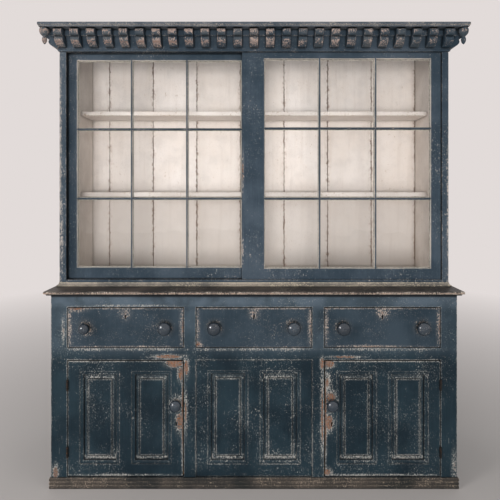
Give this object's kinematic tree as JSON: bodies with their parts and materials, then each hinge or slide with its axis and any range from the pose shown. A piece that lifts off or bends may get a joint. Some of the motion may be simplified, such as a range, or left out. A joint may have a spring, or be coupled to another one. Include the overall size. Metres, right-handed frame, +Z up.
{
  "type": "welsh dresser",
  "caption": "Painted pine dresser: a shelved display case with sliding glazed sashes and a bracketed cornice on a base of drawers and panelled doors.",
  "frame": {"origin": "on the floor, at the middle of the bounding box seen from above", "axes": "+X to the right seen from the front, the front faces -Y, +Z up"},
  "size_m": [2.066, 0.548, 2.21],
  "materials": {
    "dark_paint": "dark blue satin paint on pine, rubbed through to pale ground and bare wood along the arrises",
    "upper_paint": "blue-grey satin paint on pine, lightly worn",
    "worn_paint": "blue paint worn to brown and pale wood",
    "cream_paint": "old off-white paint",
    "bare_pine": "unfinished aged pine",
    "knob_paint": "dark paint polished by hands",
    "hinge_iron": "dark aged iron",
    "clear_glass": "clear old window glass"
  },
  "bodies": {
    "case": {"base_left_side": "dark_paint", "base_right_side": "dark_paint", "base_face_frame": "dark_paint", "centre_frame": "dark_paint", "centre_left_panel": "dark_paint", "centre_right_panel": "dark_paint", "plinth_moulding": "worn_paint", "waist_board": "worn_paint", "foot_moulding": "worn_paint", "upper_left_side": "upper_paint", "upper_right_side": "upper_paint", "upper_floor": "upper_paint", "frieze_rail": "upper_paint", "bracketed_cornice": "upper_paint", "cornice_top": "upper_paint", "left_corner_drop": "upper_paint", "right_corner_drop": "upper_paint", "upper_back": "cream_paint", "upper_shelf": "cream_paint", "lower_shelf": "cream_paint", "base_floor": "bare_pine", "base_back": "bare_pine", "drawer_deck": "bare_pine", "left_door_upper_hinge_fixed": "hinge_iron", "left_door_lower_hinge_fixed": "hinge_iron", "right_door_upper_hinge_fixed": "hinge_iron", "right_door_lower_hinge_fixed": "hinge_iron"},
    "left_drawer": {"left_drawer_front": "dark_paint", "left_drawer_box": "bare_pine", "left_drawer_left_knob": "knob_paint", "left_drawer_right_knob": "knob_paint", "left_drawer_lock": "hinge_iron"},
    "centre_drawer": {"centre_drawer_front": "dark_paint", "centre_drawer_box": "bare_pine", "centre_drawer_left_knob": "knob_paint", "centre_drawer_right_knob": "knob_paint", "centre_drawer_lock": "hinge_iron"},
    "right_drawer": {"right_drawer_front": "dark_paint", "right_drawer_box": "bare_pine", "right_drawer_left_knob": "knob_paint", "right_drawer_right_knob": "knob_paint", "right_drawer_lock": "hinge_iron"},
    "left_door": {"left_door_frame": "dark_paint", "left_door_outer_panel": "dark_paint", "left_door_inner_panel": "dark_paint", "left_door_knob": "knob_paint", "left_door_lock": "hinge_iron", "left_door_upper_hinge_moving": "hinge_iron", "left_door_lower_hinge_moving": "hinge_iron"},
    "right_door": {"right_door_frame": "dark_paint", "right_door_outer_panel": "dark_paint", "right_door_inner_panel": "dark_paint", "right_door_knob": "knob_paint", "right_door_lock": "hinge_iron", "right_door_upper_hinge_moving": "hinge_iron", "right_door_lower_hinge_moving": "hinge_iron"},
    "left_sash": {"left_sash_frame": "upper_paint", "left_sash_glass": "clear_glass"},
    "right_sash": {"right_sash_frame": "upper_paint", "right_sash_glass": "clear_glass"}
  },
  "joints": [
    {"name": "left_drawer_slide", "type": "slide", "parent": "case", "child": "left_drawer", "axis": [0, -1, 0], "range_m": [0, 0.4]},
    {"name": "centre_drawer_slide", "type": "slide", "parent": "case", "child": "centre_drawer", "axis": [0, -1, 0], "range_m": [0, 0.4]},
    {"name": "right_drawer_slide", "type": "slide", "parent": "case", "child": "right_drawer", "axis": [0, -1, 0], "range_m": [0, 0.4]},
    {"name": "left_door_swing", "type": "hinge", "parent": "case", "child": "left_door", "pos_m": [-0.87935, -0.2308, 0.33], "axis": [0, 0, -1], "range_deg": [0, 150]},
    {"name": "right_door_swing", "type": "hinge", "parent": "case", "child": "right_door", "pos_m": [0.87935, -0.2308, 0.33], "axis": [0, 0, 1], "range_deg": [0, 150]},
    {"name": "left_sash_slide", "type": "slide", "parent": "case", "child": "left_sash", "axis": [1, 0, 0], "range_m": [0, 0.887]},
    {"name": "right_sash_slide", "type": "slide", "parent": "case", "child": "right_sash", "axis": [1, 0, 0], "range_m": [-0.864, 0]}
  ]
}
